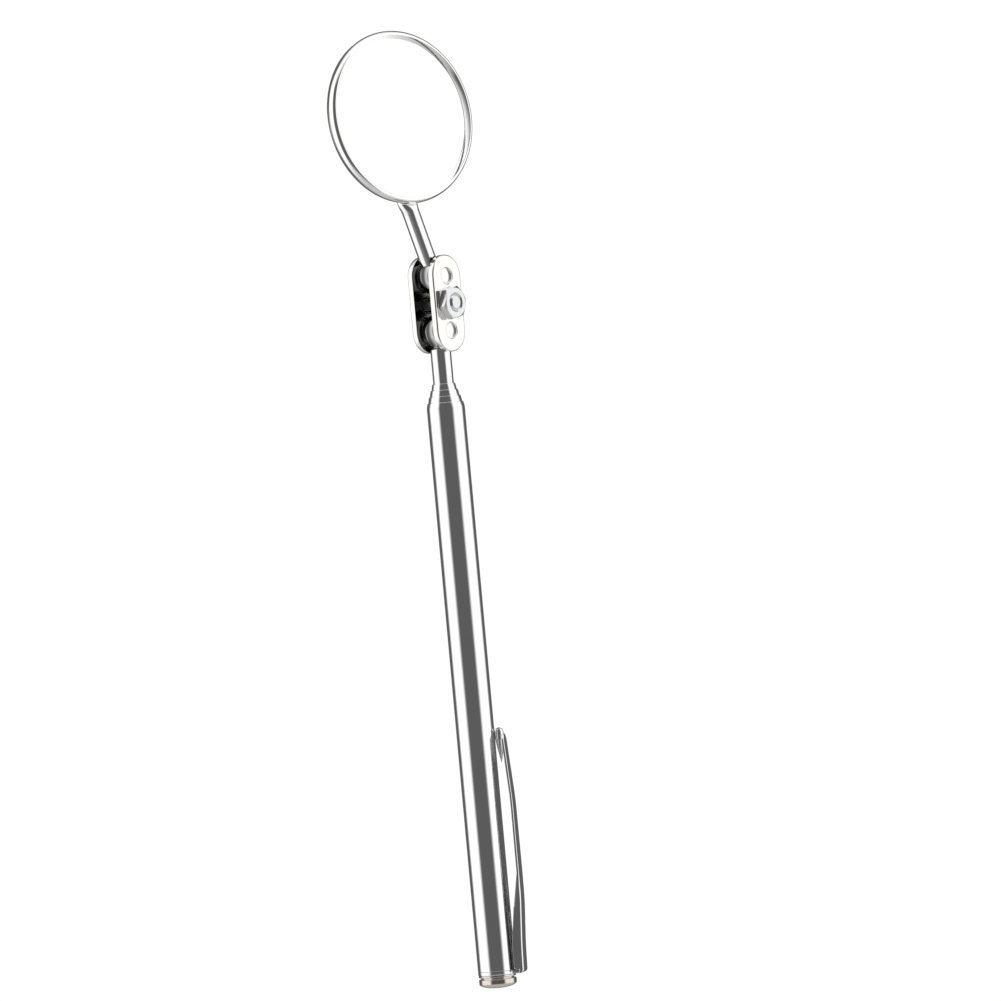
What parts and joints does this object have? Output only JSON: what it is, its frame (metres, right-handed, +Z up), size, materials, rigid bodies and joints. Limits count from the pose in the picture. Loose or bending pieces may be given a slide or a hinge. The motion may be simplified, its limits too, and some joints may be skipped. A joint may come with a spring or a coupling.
{
  "type": "telescopic inspection mirror",
  "caption": "Pocket inspection mirror: a round chrome mirror on a clamped double-ball link, a telescopic handle and a sprung pocket clip.",
  "frame": {"origin": "centre of the outer tube's bottom end, on the handle's axis", "axes": "+Z up the handle towards the mirror, +X from the handle's axis towards the pocket clip"},
  "size_m": [0.0228, 0.0248, 0.1763],
  "materials": {
    "tube_chrome": "polished chrome on thin drawn brass tube",
    "rod_chrome": "polished chrome on steel rod",
    "cup_chrome": "polished chrome on spun sheet",
    "ball_steel": "polished hardened steel",
    "plate_nickel": "nickel plated, tumbled edges",
    "fastener_zinc": "bright zinc plate, slightly blue",
    "clip_steel": "nickel plated spring steel",
    "plug_nickel": "warm thin nickel over brass",
    "sleeve_bronze": "plain phosphor bronze",
    "mirror_glass": "back-silvered float glass",
    "pad_foam": "closed-cell adhesive foam"
  },
  "bodies": {
    "handle": {"outer_tube": "tube_chrome", "end_plug": "plug_nickel", "clip_ring": "clip_steel"},
    "clip": {"pocket_clip": "clip_steel"},
    "sleeve_1": {"friction_sleeve_1": "sleeve_bronze"},
    "draw_1": {"section_tube_1": "tube_chrome"},
    "sleeve_2": {"friction_sleeve_2": "sleeve_bronze"},
    "draw_2": {"section_tube_2": "tube_chrome"},
    "sleeve_3": {"friction_sleeve_3": "sleeve_bronze"},
    "draw_3": {"section_tube_3": "tube_chrome"},
    "sleeve_4": {"friction_sleeve_4": "sleeve_bronze"},
    "rod": {"inner_rod": "rod_chrome", "lower_ball": "ball_steel"},
    "link": {"front_plate": "plate_nickel", "rear_plate": "plate_nickel", "pinch_screw": "fastener_zinc"},
    "nut": {"hex_nut": "fastener_zinc"},
    "swivel_ball": {"upper_ball": "ball_steel"},
    "head": {"mirror_stem": "rod_chrome", "mirror_cup": "cup_chrome", "backing_pad": "pad_foam", "mirror_glass": "mirror_glass"}
  },
  "joints": [
    {"name": "clip_flex", "type": "hinge", "parent": "handle", "child": "clip", "pos_m": [0.0049, 0, -0.00035], "axis": [0, 1, 0], "range_deg": [0, 6], "stiffness_Nm_per_rad": 1.2},
    {"name": "slide_1", "type": "slide", "parent": "handle", "child": "sleeve_1", "axis": [0, 0, 1], "range_m": [0, 0.085]},
    {"name": "twist_1", "type": "hinge", "parent": "sleeve_1", "child": "draw_1", "pos_m": [0, 0, 0.06], "axis": [0, 0, 1], "continuous": true},
    {"name": "slide_2", "type": "slide", "parent": "draw_1", "child": "sleeve_2", "axis": [0, 0, 1], "range_m": [0, 0.085]},
    {"name": "twist_2", "type": "hinge", "parent": "sleeve_2", "child": "draw_2", "pos_m": [0, 0, 0.06], "axis": [0, 0, 1], "continuous": true},
    {"name": "slide_3", "type": "slide", "parent": "draw_2", "child": "sleeve_3", "axis": [0, 0, 1], "range_m": [0, 0.085]},
    {"name": "twist_3", "type": "hinge", "parent": "sleeve_3", "child": "draw_3", "pos_m": [0, 0, 0.06], "axis": [0, 0, 1], "continuous": true},
    {"name": "slide_4", "type": "slide", "parent": "draw_3", "child": "sleeve_4", "axis": [0, 0, 1], "range_m": [0, 0.085]},
    {"name": "twist_4", "type": "hinge", "parent": "sleeve_4", "child": "rod", "pos_m": [0, 0, 0.06], "axis": [0, 0, 1], "continuous": true},
    {"name": "link_swing", "type": "hinge", "parent": "rod", "child": "link", "pos_m": [0, 0, 0.1176], "axis": [0.866, -0.5, 0], "range_deg": [-120, 120]},
    {"name": "nut_turn", "type": "hinge", "parent": "link", "child": "nut", "pos_m": [0, 0, 0.1226], "axis": [0.866, -0.5, 0], "range_deg": [-10, 120]},
    {"name": "head_swing", "type": "hinge", "parent": "link", "child": "swivel_ball", "pos_m": [0, 0, 0.1276], "axis": [-0.866, 0.5, 0], "range_deg": [-98, 141]},
    {"name": "head_spin", "type": "hinge", "parent": "swivel_ball", "child": "head", "pos_m": [0, 0, 0.1276], "axis": [-0.1861, -0.3223, 0.9282], "continuous": true}
  ]
}
